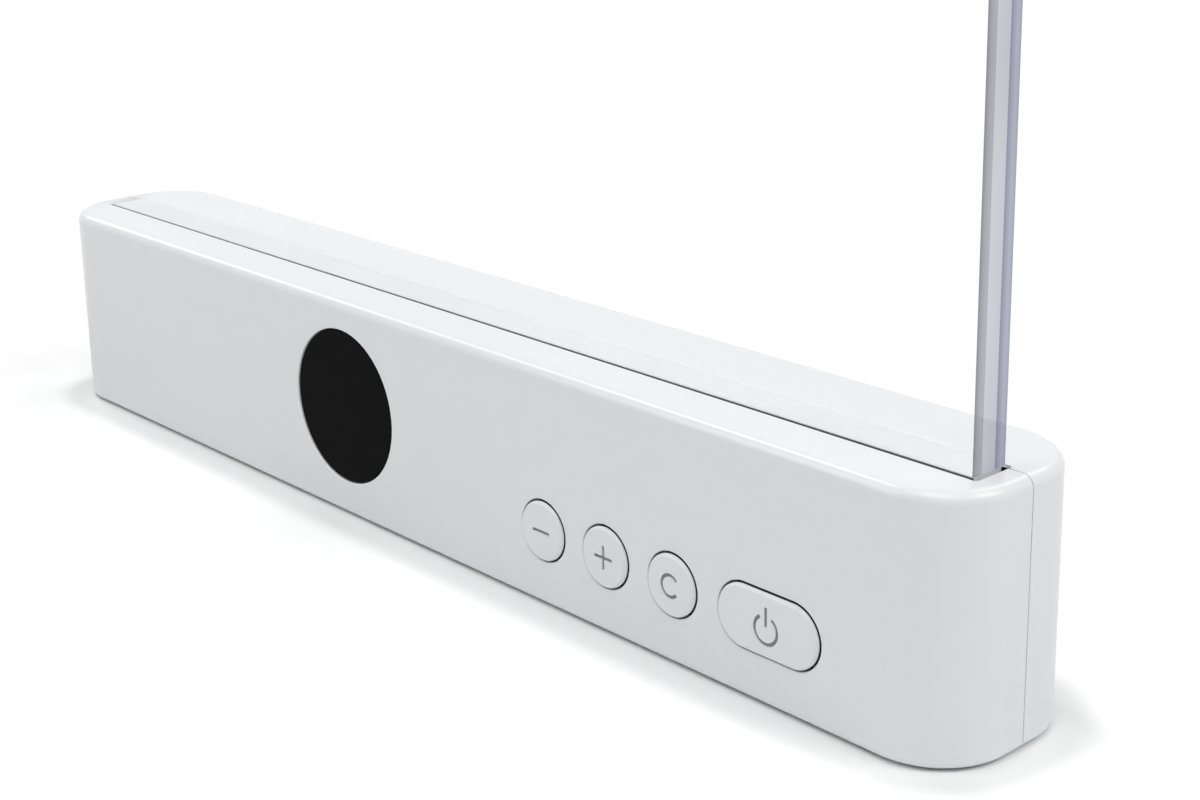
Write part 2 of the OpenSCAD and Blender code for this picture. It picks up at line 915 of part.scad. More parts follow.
// Open tray with end walls that hold a cell and its contacts
module battery_holder(i) {
  color("#26282c")
    translate([holder_x[i] - holder_l / 2, cell_y - holder_d / 2, floor_in])
      difference() {
        cube([holder_l, holder_d, holder_h]);
        translate([holder_wall, holder_wall, holder_wall])
          cube([holder_in, holder_d - 2 * holder_wall, holder_h]);
        translate([holder_wall, -cut_over, holder_side_h])
          cube([holder_in, holder_d + 2 * cut_over, holder_h]);
      }
}

module left_battery_holder() {
  battery_holder(0);
}

module right_battery_holder() {
  battery_holder(1);
}

// Round rechargeable cell, lying along X
module cell(i) {
  color("#3f7fb5")
    translate([holder_x[i], cell_y, cell_z])
      rotate([0, 90, 0])
        cylinder(d = cell_d, h = cell_l, center = true);
}

module left_cell() {
  cell(0);
}

module right_cell() {
  cell(1);
}

// Sprung plates at both ends of each cell
module contact_plates() {
  plate_w = 9;
  color("#d4cfc0")
    for (x = holder_x, end = [-1, 1])
      translate([x + end * (holder_in - contact_t) / 2, cell_y, cell_z])
        cube([contact_t, plate_w, plate_w], center = true);
}

// Insulated wire that joins the two holders
module cell_link() {
  color("#b3282d")
    translate([left_holder_x + holder_l / 2, cell_y, lead_z])
      rotate([0, 90, 0])
        cylinder(r = lead_r, h = right_holder_x - left_holder_x - holder_l);
}

// Pair of wires from the right holder down to the main board
module battery_leads() {
  start_x = right_holder_x + holder_l / 2;
  color("#b3282d")
    for (side = [-1, 1])
      translate([0, cell_y + side * lead_spread, 0]) {
        translate([start_x, 0, lead_z])
          rotate([0, 90, 0])
            cylinder(r = lead_r, h = lead_drop_x - lead_bend - start_x);
        translate([lead_drop_x - lead_bend, 0, lead_z - lead_bend])
          rotate([90, 0, 0])
            rotate_extrude(angle = 90)
              translate([lead_bend, 0])
                circle(lead_r, $fn = 24);
        translate([lead_drop_x, 0, main_top])
          cylinder(r = lead_r, h = lead_z - lead_bend - main_top);
      }
}

// Pair of wires from the main board up to the LED board
module led_leads() {
  color("#e6e6e6")
    for (side = [-1, 1])
      translate([led_lead_x + side * lead_spread, panel_y, main_top])
        cylinder(r = lead_r, h = channel_deck - main_top);
}

// Thin wires from the sensor board to the control board
module sensor_leads() {
  color("#e6e6e6")
    for (i = [-1 : 1])
      translate([sensor_plug_x1, sensor_lead_y, sensor_plug_z + i * sensor_lead_pitch])
        rotate([0, 90, 0])
          cylinder(r = sensor_lead_r, h = control_plug_x0 - sensor_plug_x1);
}

// Plugs at both ends of the thin wires
module lead_connectors() {
  plug_half = 0.7;
  color("#f2efe6") {
    translate([sensor_plug_x1 - sensor_plug_l, sensor_lead_y - plug_half, sensor_plug_z - sensor_plug_h / 2])
      cube([sensor_plug_l, sensor_front - sensor_lead_y + plug_half, sensor_plug_h]);
    translate([control_plug_x0, sensor_lead_y - plug_half, sensor_plug_z - sensor_plug_h / 2])
      cube([control_plug_l, control_front - sensor_lead_y + plug_half, sensor_plug_h]);
  }
}

front_shell();
rear_shell();
housing_screws();
rubber_feet();
light_panel();
panel_channel();
grip_strip_front();
grip_strip_rear();
seat_pads();
channel_screws();
led_board();
led_chips();
sensor_window();
sensor_board();
light_sensor();
remote_receiver();
minus_key();
plus_key();
colour_key();
power_key();
minus_plunger();
plus_plunger();
colour_plunger();
power_plunger();
control_board();
tact_switches();
board_screws();
main_board();
board_header();
charging_inlet();
inlet_tongue();
coil();
capacitors();
driver_chips();
left_battery_holder();
right_battery_holder();
left_cell();
right_cell();
contact_plates();
cell_link();
battery_leads();
led_leads();
sensor_leads();
lead_connectors();
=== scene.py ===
import json
import math

import bmesh
import bpy
from mathutils import Matrix, Vector


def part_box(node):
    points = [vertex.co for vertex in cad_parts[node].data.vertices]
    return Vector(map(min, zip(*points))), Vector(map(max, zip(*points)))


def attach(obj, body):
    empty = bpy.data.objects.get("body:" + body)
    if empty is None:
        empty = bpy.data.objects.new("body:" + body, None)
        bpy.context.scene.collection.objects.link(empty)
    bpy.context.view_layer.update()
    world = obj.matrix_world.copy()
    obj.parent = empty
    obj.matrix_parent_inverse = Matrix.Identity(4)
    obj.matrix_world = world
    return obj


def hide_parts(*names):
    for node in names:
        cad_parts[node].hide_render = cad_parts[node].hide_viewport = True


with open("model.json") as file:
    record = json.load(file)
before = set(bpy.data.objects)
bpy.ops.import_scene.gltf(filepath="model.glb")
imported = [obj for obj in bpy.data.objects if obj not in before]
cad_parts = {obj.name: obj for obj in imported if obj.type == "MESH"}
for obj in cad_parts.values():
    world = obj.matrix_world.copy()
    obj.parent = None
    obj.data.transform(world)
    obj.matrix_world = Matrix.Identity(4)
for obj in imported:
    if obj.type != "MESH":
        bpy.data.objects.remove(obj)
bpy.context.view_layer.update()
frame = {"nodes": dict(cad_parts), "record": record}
cad_nodes = frame["nodes"]
scene = bpy.context.scene
MM = 0.001

# Sizes of the housing, in millimetres. They are the solids' sizes, but for the rounding of the top edge:
# it is 2.5 mm there, and the highlight along it is narrower in the photo.
BASE_L, BASE_D, BASE_H = 272.0, 36.0, 46.0
CORNER_R, TOP_ROUND, BOTTOM_ROUND = 14.0, 2.1, 1.25
FOOT_H, WALL, TOP_WALL = 0.5, 2.2, 2.6
CORNER_X, CORNER_Y = BASE_L / 2 - CORNER_R, BASE_D / 2 - CORNER_R
FRONT_Y, REAR_Y = -BASE_D / 2, BASE_D / 2
FRONT_IN, REAR_IN = FRONT_Y + WALL, REAR_Y - WALL
FLOOR_IN, TOP_IN = FOOT_H + WALL, BASE_H - TOP_WALL
SEAM_Y, SEAM_GAP, SEAM_ROUND = 0.5, 0.09, 0.12
WINDOW_ROUND, HOLE_ROUND, SLOT_ROUND = 0.3, 0.25, 0.1
# How far in the corner facets lie at most that a wall is opened with
BESIDE_WALL = 0.5
# Points this close count as one, and a cut this close to a point goes through it
SAME, CLOSE = 1e-4, 1e-3
# Edges that bend less than this are flat, and faces count as facing a way from this share of their normal on
FLAT_ANGLE, FACING = math.radians(0.1), 0.9
# Facets round each outline and across each rounded edge
CORNER_STEPS, SLOT_STEPS, HOLE_STEPS, WINDOW_STEPS = 96, 32, 64, 128
KEY_STEPS, STEM_STEPS, ARC_STEPS = 96, 32, 48
BOTTOM_EDGE, TOP_EDGE, HOLE_EDGE, WINDOW_EDGE, SEAM_EDGE, PANEL_CORNER_EDGE = 6, 10, 3, 4, 2, 12

# Slot and clear panel. The slot's front edge, and the black lip in it, run back by the taper towards the
# left. The lip is painted shade: it draws the shaded gap before the sheet.
PANEL_X, PANEL_FRONT, PANEL_REAR = 130.0, -6.5, 1.5
PANEL_LOW, PANEL_TOP, PANEL_CORNER_R, PANEL_CHAMFER = 28.2, 236.0, 4.0, 0.25
SLOT_LEFT, SLOT_RIGHT, SLOT_FRONT, SLOT_REAR = -130.06, 131.3, -7.45, 1.55
SLOT_CORNER_R, SLOT_TAPER = 0.6, 0.43
FOOT_TOP, FOOT_GAP = 45.97, 0.02
SHADE_LIP_TOP, SHADE_LIP_FRONT = 45.85, SLOT_FRONT + 0.03

# Keys, window, feet, screws and inlet
KEY_Z, KEY_HOLE_R, KEY_CAP_R, KEY_FRONT = 15.0, 6.0, 5.65, FRONT_Y - 0.6
# The bevel of a key's rim, as pairs of how far in from the cap's radius and how far behind its front
KEY_RIM = ((0.5, 0.0), (0.4, 0.03), (0.08, 0.35), (0.0, 0.5))
SHADE_SKIRT_FRONT, FLANGE_FRONT, FLANGE_BACK, FLANGE_R = FRONT_Y + 0.1, FRONT_IN + 0.1, FRONT_IN + 1.1, 6.8
STEM_R, STEM_END = 1.75, FRONT_IN + 1.9
KEYS = {"minus": (43.05, 0.0), "plus": (59.8, 0.0), "colour": (76.55, 0.0), "power": (98.75, 5.4)}
MARK_LINE, MARK_L, MARK_DEPTH = 0.65, 4.6, 0.3
POWER_R, STEM_LOW, STEM_HIGH = 0.54 * MARK_L, -0.025 * MARK_L, 0.725 * MARK_L
COLOUR_GAP, POWER_GAP, FULL_TURN = math.radians(75), math.radians(60), 2 * math.pi
WINDOW_X, WINDOW_Z, WINDOW_HOLE_R, WINDOW_R = -18.75, 23.8, 16.2, 16.0
WINDOW_FRONT, WINDOW_BACK, WINDOW_FLANGE_R = FRONT_Y + 0.2, FRONT_IN + 1.2, 17.6
FOOT_X, FOOT_Y, FOOT_SEAT_R, FOOT_SEAT = BASE_L / 2 - 23, BASE_D / 2 - 7.5, 5.05, 0.8
BOSS_X, BOSS_Z, BOSS_R, BOSS_GAP = (-121.2, -43.675, 33.85, 121.2), 7.0, 3.4, 0.2
COUNTERBORE_R, SCREW_SEAT_Y, SCREW_HOLE_R = 2.4, SEAM_Y + 5, 1.6
PILOT_R, PILOT_END_Y = 1.3, SEAM_Y - 7
INLET_X, INLET_Z, INLET_R, INLET_PULL = 69.25, 10.93, 1.93, 2.84

# Finishes: where a noise mostly lies, where the product of two noises goes from dark to light, how much
# coarser the second one is, and the sizes of the acrylic's smears and ripples in millimetres
NOISE_LOW, NOISE_HIGH, TINT_STOPS, COARSER = 0.3, 0.7, (0.12, 0.4), 12
SMEAR, RIPPLE, RIPPLE_STRETCH, ACRYLIC_IOR = 40.0, 12.0, (1, 1, 0.25), 1.49
WHITE = (1.0, 1.0, 1.0, 1.0)

# How an outline stands: lying, or upright as a hole in the front
FLAT = Matrix.Identity(4)
UPRIGHT = Matrix.Rotation(math.pi / 2, 4, "X")


def linear(hex_colour):
    """An sRGB hex value as the linear colour that shaders take."""
    parts = [int(hex_colour[i : i + 2], 16) / 255 for i in (1, 3, 5)]
    return (*[c / 12.92 if c <= 0.04045 else ((c + 0.055) / 1.055) ** 2.4 for c in parts], 1.0)


def add(tree, kind, inputs=None, **settings):
    """A node with its settings, and each named socket set to a value or linked from another socket."""
    node = tree.nodes.new(kind)
    for key, value in settings.items():
        setattr(node, key, value)
    for key, value in (inputs or {}).items():
        if isinstance(value, bpy.types.NodeSocket):
            tree.links.new(value, node.inputs[key])
        else:
            node.inputs[key].default_value = value
    return node


def blank(name):
    """A material with an empty tree, its tree and its output node."""
    material = bpy.data.materials.new(name)
    material.use_nodes = True
    material.node_tree.nodes.clear()
    return material, material.node_tree, add(material.node_tree, "ShaderNodeOutputMaterial")


def speckled(name, dark, light, grain, rough, bump=0.0, stretch=(1, 1, 1), **sockets):
    """A surface whose colour and roughness drift over a grain of the given size in millimetres."""
    material, tree, out = blank(name)
    place = add(tree, "ShaderNodeTexCoord").outputs["Object"]
    laid = add(tree, "ShaderNodeMapping", {"Vector": place, "Scale": stretch}).outputs[0]
    fine, broad = (
        add(
            tree, "ShaderNodeTexNoise", {"Vector": laid, "Scale": 1 / (size * MM), "Detail": detail}
        ).outputs[0]
        for size, detail in ((grain, 3.0), (COARSER * grain, 2.0))
    )
    both = add(tree, "ShaderNodeMath", {0: fine, 1: broad}, operation="MULTIPLY").outputs[0]
    tint = add(tree, "ShaderNodeValToRGB", {"Fac": both})
    for stop, at, colour in zip(tint.color_ramp.elements, TINT_STOPS, (dark, light)):
        stop.position, stop.color = at, linear(colour)
    drift = {"Value": fine, 1: NOISE_LOW, 2: NOISE_HIGH, 3: rough[0], 4: rough[1]}
    gloss = add(tree, "ShaderNodeMapRange", drift).outputs[0]
    surface = {"Base Color": tint.outputs[0], "Roughness": gloss, **sockets}
    shader = add(tree, "ShaderNodeBsdfPrincipled", surface)
    if bump:
        height = {"Height": fine, "Strength": 1.0, "Distance": bump * MM}
        tree.links.new(add(tree, "ShaderNodeBump", height).outputs[0], shader.inputs["Normal"])
    tree.links.new(shader.outputs[0], out.inputs[0])
    return material


# ABS moulded in a spark-eroded mould: cool white, satin, with a fine even tooth that softens each highlight
moulded_abs = speckled("moulded_white_abs", "#eef0f2", "#f0f1f3", 0.35, (0.2, 0.24), 0.001)
# Paint wiped into a sunk mark: flat grey, a little thinner here and there
mark_paint = speckled("wiped_grey_mark_paint", "#85878b", "#919397", 0.3, (0.55, 0.7), 0.004)
# Infrared-passing acrylic, moulded and polished: nearly black, with a quiet sheen
smoked_acrylic = speckled(
    "moulded_smoked_acrylic", "#121213", "#151516", 4.0, (0.22, 0.26), 0.0, **{"Specular IOR Level": 0.012}
)
# Milky acrylic at the foot of the sheet, where it takes in the light: white and satin, with a cloudy depth
opal = speckled("cast_opal_acrylic", "#e6e8eb", "#eceef0", 1.5, (0.3, 0.4), 0.0)
# Silicone rubber, compression moulded: deep black, dull, with dust-like tooth
silicone = speckled("moulded_black_silicone", "#131415", "#1e1f20", 0.25, (0.7, 0.85), 0.01)
# Extruded aluminium, anodised dark: satin metal with draw lines along its length
anodised = speckled(
    "extruded_dark_anodised_aluminium", "#34373b", "#45484d", 0.4, (0.35, 0.5), 0.003, (0.03, 1, 1),
    Metallic=1.0,
)
# Glass-epoxy board under green solder mask: slightly wavy gloss over a faint weave
solder_mask = speckled("green_solder_mask_board", "#14462f", "#1f6442", 0.5, (0.3, 0.45), 0.006)
# Aluminium-core board under white solder mask: bright and even
white_mask = speckled("white_solder_mask_board", "#e3e3de", "#efefea", 0.5, (0.35, 0.5), 0.004)
# Phosphor in cast silicone on an LED: warm yellow with a soft gloss
phosphor = speckled("cast_led_phosphor", "#e3c648", "#f2dc70", 0.2, (0.25, 0.35), 0.004)
# Steel wire formed into screws and inlet shells, zinc plated: bright with fine turning marks
plated = speckled("zinc_plated_steel", "#a9adb2", "#c6cacf", 0.15, (0.22, 0.38), 0.003, Metallic=1.0)
# Epoxy moulding compound: dark grey-black, matt with a sandy tooth
epoxy = speckled("moulded_black_epoxy", "#1a1b1d", "#28292c", 0.12, (0.5, 0.65), 0.006)
# Shrink film on a cell: blue, glossy, a little cloudy
film = speckled("blue_shrink_film", "#2f6ea6", "#437fb5", 2.0, (0.2, 0.3), 0.01)
# Nickel-plated spring strip: warm bright metal with rolling lines
nickel = speckled(
    "rolled_nickel_strip", "#bdb7a6", "#d8d2c2", 0.2, (0.2, 0.35), 0.003, (0.1, 1, 1), Metallic=1.0
)
# Soft PVC insulation, extruded: even colour with a waxy sheen
red_pvc = speckled("extruded_red_insulation", "#a12226", "#bb3136", 0.5, (0.4, 0.5), 0.004)
white_pvc = speckled("extruded_white_insulation", "#dcdcda", "#ececea", 0.5, (0.4, 0.5), 0.004)


def polished(tree, through, rough, most=1.0):
    """Light that passes an acrylic face as given, and at most that share of what its outer side mirrors."""
    mirror = add(tree, "ShaderNodeBsdfGlossy", {"Color": WHITE, "Roughness": rough}).outputs[0]
    facing = add(tree, "ShaderNodeFresnel", {"IOR": ACRYLIC_IOR}).outputs[0]
    inside = add(tree, "ShaderNodeNewGeometry").outputs["Backfacing"]
    outside = add(tree, "ShaderNodeMapRange", {"Value": inside, 3: most, 4: 0.0}).outputs[0]
    share = add(tree, "ShaderNodeMath", {0: facing, 1: outside}, operation="MULTIPLY").outputs[0]
    return add(tree, "ShaderNodeMixShader", {0: share, 1: through, 2: mirror}).outputs[0]


def clear_sheet():
    """Cast acrylic, polished: unseen but for what its faces mirror and faint smears from wiping."""
    material, tree, out = blank("cast_clear_acrylic_face")
    place = add(tree, "ShaderNodeTexCoord").outputs["Object"]
    noise = {"Vector": place, "Scale": 1 / (SMEAR * MM), "Detail": 2.0}
    smear = add(tree, "ShaderNodeTexNoise", noise).outputs[0]
    rough = add(tree, "ShaderNodeMapRange", {"Value": smear, 3: 0.02, 4: 0.07}).outputs[0]
    through = add(tree, "ShaderNodeBsdfTransparent", {"Color": WHITE}).outputs[0]
    tree.links.new(polished(tree, through, rough), out.inputs[0])
    return material


def clear_edge():
    """Sawn, flame-polished edge of cast acrylic, tinted in grey-blue bands across its thickness: painted
    reflection, standing in for what the edge mirrors and bends of the housing and the slot.
    """
    material, tree, out = blank("flame_polished_acrylic_edge_painted_reflection")
    place = add(tree, "ShaderNodeTexCoord").outputs["Object"]
    axes = add(tree, "ShaderNodeSeparateXYZ", {"Vector": place})
    depth = {"Value": axes.outputs["Y"], 1: PANEL_FRONT * MM, 2: PANEL_REAR * MM}
    across = add(tree, "ShaderNodeMapRange", depth).outputs[0]
    # Painted reflection: grey-blue bands by depth through the sheet, in place of the images that the edge
    # mirrors and bends
    painted_reflection_bands = add(tree, "ShaderNodeValToRGB", {"Fac": across})
    stops = [
        (0.0, "#8f929d"), (0.05, "#a6a8b0"), (0.2, "#b4b6bd"), (0.225, "#a9abb6"), (0.25, "#cfd0d6"),
        (0.63, "#c6c8d0"), (0.66, "#8d90a2"), (0.7, "#9a9db0"), (0.85, "#b0b3c0"), (0.95, "#a5a8b8"),
        (1.0, "#7d8190"),
    ]
    while len(painted_reflection_bands.color_ramp.elements) < len(stops):
        painted_reflection_bands.color_ramp.elements.new(0.5)
    for stop, (at, colour) in zip(painted_reflection_bands.color_ramp.elements, stops):
        stop.position, stop.color = at, linear(colour)
    stretched = add(tree, "ShaderNodeMapping", {"Vector": place, "Scale": RIPPLE_STRETCH}).outputs[0]
    noise = {"Vector": stretched, "Scale": 1 / (RIPPLE * MM), "Detail": 2.0}
    ripple = add(tree, "ShaderNodeTexNoise", noise).outputs[0]
    drift = {"Value": ripple, 1: NOISE_LOW, 2: NOISE_HIGH, 3: 0.9, 4: 1.06}
    drift = add(tree, "ShaderNodeMapRange", drift).outputs[0]
    tint = {"Factor": 1.0, 6: painted_reflection_bands.outputs[0], 7: drift}
    tint = add(tree, "ShaderNodeMix", tint, data_type="RGBA", blend_type="MULTIPLY").outputs[2]
    # Only the edge's outer side tints what is seen through it
    inside = add(tree, "ShaderNodeNewGeometry").outputs["Backfacing"]
    shown = {"Factor": inside, 6: tint, 7: WHITE}
    shown = add(tree, "ShaderNodeMix", shown, data_type="RGBA").outputs[2]
    through = add(tree, "ShaderNodeBsdfTransparent", {"Color": shown}).outputs[0]
    tree.links.new(polished(tree, through, rough=0.08, most=0.3), out.inputs[0])
    return material


def unique(items):
    """Each item once, in the order of its first place, so that every run builds the same mesh."""
    return list(dict.fromkeys(items))


def only(kind, geom):
    """What is of one kind among the parts that an operator gives back."""
    return [g for g in geom if isinstance(g, kind)]


def ring(bm, turn, radius, centre, pull=(0.0, 0.0), steps=HOLE_STEPS):
    """Edges of a circle that is pulled apart into a longer outline and turned into its plane."""
    spun = Matrix.Rotation(math.pi / steps, 4, "Z")
    around = radius / math.cos(math.pi / steps)
    verts = bmesh.ops.create_circle(bm, cap_ends=False, segments=steps, radius=around, matrix=spun)["verts"]
    for v in verts:
        v.co += Vector((math.copysign(pull[0], v.co.x), math.copysign(pull[1], v.co.y), 0))
    bmesh.ops.transform(bm, matrix=Matrix.Translation(centre) @ turn, verts=verts)
    return unique(e for v in verts for e in v.link_edges)


def sleeve(bm, rings):
    """Walls between neighbouring outlines. Returns the first and the last outline."""
    for near, far in zip(rings, rings[1:]):
        bmesh.ops.bridge_loops(bm, edges=near + far)
    return rings[0], rings[-1]


def lid(bm, outlines):
    """Flat face inside the first outline, open inside the others."""
    edges = [e for outline in outlines for e in outline]
    return bmesh.ops.triangle_fill(bm, edges=edges, use_beauty=True)


def rounded(steps, radius):
    """Pairs of how far a quarter-round edge has moved in and along, from its flat side to its wall."""
    turns = [math.pi / 2 * i / steps for i in range(steps + 1)]
    return [(radius * (1 - math.sin(a)), radius * (1 - math.cos(a))) for a in turns]


def wall_hole(bm, x, z, radius, pull=0.0, face_y=FRONT_Y, inner_y=FRONT_IN, deeper=()):
    """A hole with a softened edge through an upright wall. Returns its outer and its inner outline."""
    inward = 1 if inner_y > face_y else -1
    steps = [(radius + grow, face_y + inward * along) for grow, along in rounded(HOLE_EDGE, HOLE_ROUND)]
    steps += [*deeper] or [(radius, inner_y)]
    return sleeve(bm, [ring(bm, UPRIGHT, r, (x, y, z), (pull, 0)) for r, y in steps])


def open_wall(bm, y):
    """Takes away the upright wall at that depth with the corner facets beside it, and returns its outline."""
    tall = [f for f in bm.faces if max(v.co.z for v in f.verts) - min(v.co.z for v in f.verts) > BASE_H / 2]
    faces = [f for f in tall if abs(f.calc_center_median().y - y) < BESIDE_WALL]
    edges = unique(e for f in faces for e in f.edges)
    within = [e for e in edges if sum(f in faces for f in e.link_faces) == 2]
    outline = [e for e in edges if e not in within]
    bmesh.ops.delete(bm, geom=within, context="EDGES")
    return outline


def close_wall(bm, y, outline, holes):
    """Lays a wall flat, fills it round its holes, cuts it along the corner facets and bends it back."""
    rim = {v for e in outline for v in e.verts}
    bends = sorted({(round(abs(v.co.x), 4), round(v.co.y - y, 4)) for v in rim})
    for v in rim:
        v.co.y = y
    filled = only(bmesh.types.BMFace, lid(bm, [outline, *holes])["geom"])
    for x in [side * x for x, _ in bends for side in (-1, 1)]:
        parts = unique(g for f in filled for g in (f, *f.edges, *f.verts))
        cut = bmesh.ops.bisect_plane(bm, geom=parts, dist=CLOSE, plane_co=(x, 0, 0), plane_no=(1, 0, 0))
        filled = only(bmesh.types.BMFace, cut["geom"])
    for v in {v for f in filled for v in f.verts}:
        for (x0, y0), (x1, y1) in zip(bends, bends[1:]):
            if x0 < abs(v.co.x) <= x1 + CLOSE:
                v.co.y = y + y0 + (y1 - y0) * min(1, (abs(v.co.x) - x0) / (x1 - x0))
                break


def prism(bm, points, depth):
    """A flat outline carried straight along into a closed solid."""
    start = bm.faces.new([bm.verts.new(p) for p in points])
    grown = bmesh.ops.extrude_face_region(bm, geom=[start], use_keep_orig=True)["geom"]
    bmesh.ops.translate(bm, verts=only(bmesh.types.BMVert, grown), vec=depth)
    bmesh.ops.recalc_face_normals(bm, faces=bm.faces)


def soften(bm, edges, width, segments):
    """Rounds or chamfers these edges."""
    bmesh.ops.bevel(
        bm, geom=edges, offset=width, offset_type="OFFSET", segments=segments, profile=0.5,
        affect="EDGES", material=-1,
    )


def finished(bm, name, body, materials, replaced, sharp=35):
    """The modelled millimetres as an object in metres that stands for its CAD node and rides on its body."""
    bmesh.ops.remove_doubles(bm, verts=bm.verts, dist=SAME)
    bmesh.ops.recalc_face_normals(bm, faces=bm.faces)
    bmesh.ops.scale(bm, vec=(MM, MM, MM), verts=bm.verts)
    mesh = bpy.data.meshes.new(name)
    bm.to_mesh(mesh)
    bm.free()
    mesh.shade_smooth()
    mesh.set_sharp_from_angle(angle=math.radians(sharp))
    piece = bpy.data.objects.new(name, mesh)
    scene.collection.objects.link(piece)
    for material in materials:
        mesh.materials.append(material)
    even = piece.modifiers.new("even_normals", "WEIGHTED_NORMAL")
    even.keep_sharp = True
    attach(piece, body)
    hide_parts(*replaced)


def housing():
    """Both shells in one closed skin: outer form, inner room, slot, holes, foot seats and screw bosses."""
    bm = bmesh.new()
    pulls = (CORNER_X, CORNER_Y)
    low = [(inset, FOOT_H + along) for inset, along in rounded(BOTTOM_EDGE, BOTTOM_ROUND)]
    high = [(inset, BASE_H - along) for inset, along in reversed(rounded(TOP_EDGE, TOP_ROUND))]
    skin = [ring(bm, FLAT, CORNER_R - inset, (0, 0, z), pulls, CORNER_STEPS) for inset, z in low + high]
    bottom, top = sleeve(bm, skin)
    room = [ring(bm, FLAT, CORNER_R - WALL, (0, 0, z), pulls, CORNER_STEPS) for z in (FLOOR_IN, TOP_IN)]
    floor, ceiling = sleeve(bm, room)
    faces = {y: open_wall(bm, y) for y in (FRONT_Y, FRONT_IN, REAR_Y, REAR_IN)}

    slot_x, slot_y = (SLOT_LEFT + SLOT_RIGHT) / 2, (SLOT_FRONT + SLOT_REAR) / 2
    slot_pull = (SLOT_RIGHT - slot_x - SLOT_CORNER_R, SLOT_REAR - slot_y - SLOT_CORNER_R)
    edge = [(SLOT_CORNER_R + grow, BASE_H - down) for grow, down in rounded(HOLE_EDGE, SLOT_ROUND)]
    edge += [(SLOT_CORNER_R, TOP_IN)]
    slot = [ring(bm, FLAT, r, (slot_x, slot_y, z), slot_pull, SLOT_STEPS) for r, z in edge]
    for v in {v for outline in slot for e in outline for v in e.verts}:
        if v.co.x < slot_x and v.co.y < slot_y:
            v.co.y += SLOT_TAPER
    slot_top, slot_low = sleeve(bm, slot)

    seats = []
    for x in (-FOOT_X, FOOT_X):
        for y in (-FOOT_Y, FOOT_Y):
            cup = [ring(bm, FLAT, FOOT_SEAT_R, (x, y, z)) for z in (FOOT_H, FOOT_H + FOOT_SEAT)]
            seats.append(sleeve(bm, cup)[0])
            lid(bm, [cup[1]])

    front = [wall_hole(bm, x, KEY_Z, KEY_HOLE_R, pull) for x, pull in KEYS.values()]
    front.append(wall_hole(bm, WINDOW_X, WINDOW_Z, WINDOW_HOLE_R))
    rear = [wall_hole(bm, INLET_X, INLET_Z, INLET_R, INLET_PULL, REAR_Y, REAR_IN)]
    well = [
        (COUNTERBORE_R, SCREW_SEAT_Y), (SCREW_HOLE_R, SCREW_SEAT_Y), (SCREW_HOLE_R, SEAM_Y + BOSS_GAP),
        (BOSS_R, SEAM_Y + BOSS_GAP), (BOSS_R, REAR_IN),
    ]
    rear += [wall_hole(bm, x, BOSS_Z, COUNTERBORE_R, 0, REAR_Y, REAR_IN, well) for x in BOSS_X]
    post = [
        (BOSS_R, FRONT_IN), (BOSS_R, SEAM_Y - BOSS_GAP), (PILOT_R, SEAM_Y - BOSS_GAP), (PILOT_R, PILOT_END_Y),
    ]
    pillars = []
    for x in BOSS_X:
        foot, tip = sleeve(bm, [ring(bm, UPRIGHT, r, (x, y, BOSS_Z)) for r, y in post])
        lid(bm, [tip])
        pillars.append(foot)

    lid(bm, [bottom, *seats])
    lid(bm, [top, slot_top])
    lid(bm, [floor])
    lid(bm, [ceiling, slot_low])
    close_wall(bm, FRONT_Y, faces[FRONT_Y], [outer for outer, _ in front])
    close_wall(bm, FRONT_IN, faces[FRONT_IN], [inner for _, inner in front] + pillars)
    close_wall(bm, REAR_Y, faces[REAR_Y], [outer for outer, _ in rear])
    close_wall(bm, REAR_IN, faces[REAR_IN], [inner for _, inner in rear])
    bmesh.ops.remove_doubles(bm, verts=bm.verts, dist=SAME)
    bmesh.ops.recalc_face_normals(bm, faces=bm.faces)
    return bm


def shell(whole, name, front):
    """One half of the housing, closed at the seam, with a softened edge that makes the seam a fine groove."""
    bm = whole.copy()
    everything = [*bm.verts, *bm.edges, *bm.faces]
    cut = SEAM_Y - SEAM_GAP if front else SEAM_Y + SEAM_GAP
    bmesh.ops.bisect_plane(
        bm, geom=everything, dist=SAME, plane_co=(0, cut, 0), plane_no=(0, 1, 0),
        clear_outer=front, clear_inner=not front,
    )
    bmesh.ops.holes_fill(bm, edges=[e for e in bm.edges if e.is_boundary], sides=0)
    bmesh.ops.recalc_face_normals(bm, faces=bm.faces)
    bmesh.ops.dissolve_limit(bm, angle_limit=FLAT_ANGLE, verts=bm.verts, edges=bm.edges, delimit={"NORMAL"})
    # The seam's outer edges, and not those on the inside of the walls
    side, low, high = BASE_L / 2 - WALL / 2, FOOT_H + BOTTOM_ROUND, BASE_H - SLOT_ROUND
    rim = [
        e for e in bm.edges
        if all(abs(v.co.y - cut) < SAME for v in e.verts) and e.calc_face_angle(0) > FLAT_ANGLE
        and all(abs(v.co.x) > side or v.co.z < low or v.co.z > high for v in e.verts)
    ]
    soften(bm, rim, SEAM_ROUND, SEAM_EDGE)
    finished(bm, name, "base", [moulded_abs], [name])


def turned(point, quarters):
    """A flat point turned by quarter turns."""
    for _ in range(quarters):
        point = (-point[1], point[0])
    return point


